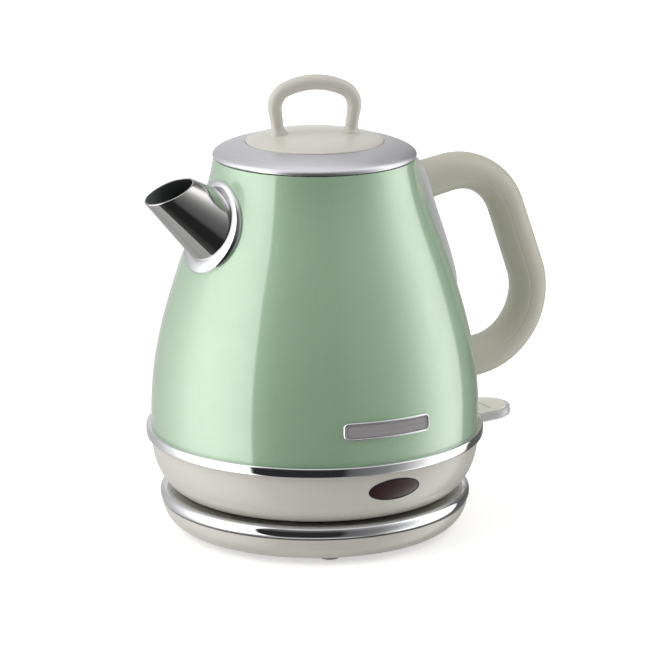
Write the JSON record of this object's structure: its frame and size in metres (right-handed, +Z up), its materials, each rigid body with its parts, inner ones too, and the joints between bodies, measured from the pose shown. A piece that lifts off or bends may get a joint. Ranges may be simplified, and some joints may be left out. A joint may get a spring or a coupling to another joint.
{
  "type": "electric kettle",
  "caption": "Cordless jug kettle with a domed lift-off lid, short cone spout, looped side handle and rocker switch, standing on a round power base.",
  "frame": {"origin": "on the kettle's vertical axis, at the surface its base stands on", "axes": "+Z up along the kettle's axis; -X towards the spout, +X towards the handle and switch, -Y towards the badge and lamp"},
  "size_m": [0.2204, 0.1646, 0.222],
  "materials": {
    "green_paint": "gloss green paint over steel",
    "chrome": "polished",
    "bare_steel": "satin brushed",
    "screw_steel": "plain",
    "cream_plastic": "gloss cream",
    "handle_plastic": "satin cream",
    "black_plastic": "fine matt",
    "control_plastic": "matt off-white",
    "grey_plastic": "translucent grey",
    "clear_plastic": "frosted clear",
    "lens_plastic": "dark red translucent",
    "lamp_glass": "clear",
    "silicone": "matt pale silicone",
    "black_rubber": "matt",
    "aluminium": "rolled",
    "brass": "plain",
    "badge_grey": "satin grey"
  },
  "bodies": {
    "base": {"base_shell": "cream_plastic", "base_rim": "chrome", "base_tray": "chrome", "base_cover": "cream_plastic", "base_socket": "black_plastic", "socket_contacts": "brass", "base_screws": "screw_steel", "rubber_feet": "black_rubber", "cord_gland": "black_rubber", "cord_clamp": "screw_steel", "base_leads": "brass"},
    "connector": {"kettle_connector": "black_plastic"},
    "kettle": {"jug": "green_paint", "jug_band": "chrome", "lower_housing": "cream_plastic", "underside_cover": "black_plastic", "housing_screws": "screw_steel", "lens_bezel": "black_plastic", "indicator_lens": "lens_plastic", "indicator_lamp": "lamp_glass", "lamp_leads": "brass", "heating_plate": "bare_steel", "diffuser_plate": "aluminium", "heating_element": "aluminium", "plate_studs": "screw_steel", "thermostat_body": "control_plastic", "bimetal_discs": "brass", "control_screws": "screw_steel", "steam_switch": "black_plastic", "steam_tube": "silicone", "switch_bracket": "screw_steel", "spout_tube": "chrome", "spout_collar": "chrome", "filter_guides": "bare_steel", "handle_shell": "handle_plastic", "handle_cover": "handle_plastic", "handle_inserts": "screw_steel", "handle_screws": "screw_steel", "gauge_frame": "clear_plastic", "gauge_window": "clear_plastic", "gauge_seal": "silicone", "badge_plate": "badge_grey", "badge_rim": "chrome"},
    "lid": {"lid_rim": "bare_steel", "lid_cap": "cream_plastic", "lid_knob": "cream_plastic", "lid_liner": "bare_steel", "lid_seal": "silicone", "lid_screws": "screw_steel"},
    "switch": {"switch_paddle": "cream_plastic", "switch_rim": "grey_plastic", "switch_lever": "cream_plastic", "switch_pin": "screw_steel"},
    "filter": {"filter_frame": "cream_plastic", "filter_mesh": "bare_steel"}
  },
  "joints": [
    {"name": "kettle_lift", "type": "slide", "parent": "base", "child": "connector", "axis": [0, 0, 1], "range_m": [0, 0.12]},
    {"name": "kettle_turn", "type": "hinge", "parent": "connector", "child": "kettle", "pos_m": [0, 0, 0], "axis": [0, 0, 1], "continuous": true},
    {"name": "lid_lift", "type": "slide", "parent": "kettle", "child": "lid", "axis": [0, 0, 1], "range_m": [0, 0.08]},
    {"name": "switch_rock", "type": "hinge", "parent": "kettle", "child": "switch", "pos_m": [0.065, 0, 0.0365], "axis": [0, 1, 0], "range_deg": [0, 9]},
    {"name": "filter_lift", "type": "slide", "parent": "kettle", "child": "filter", "axis": [0, 0, 1], "range_m": [0, 0.0045]}
  ]
}
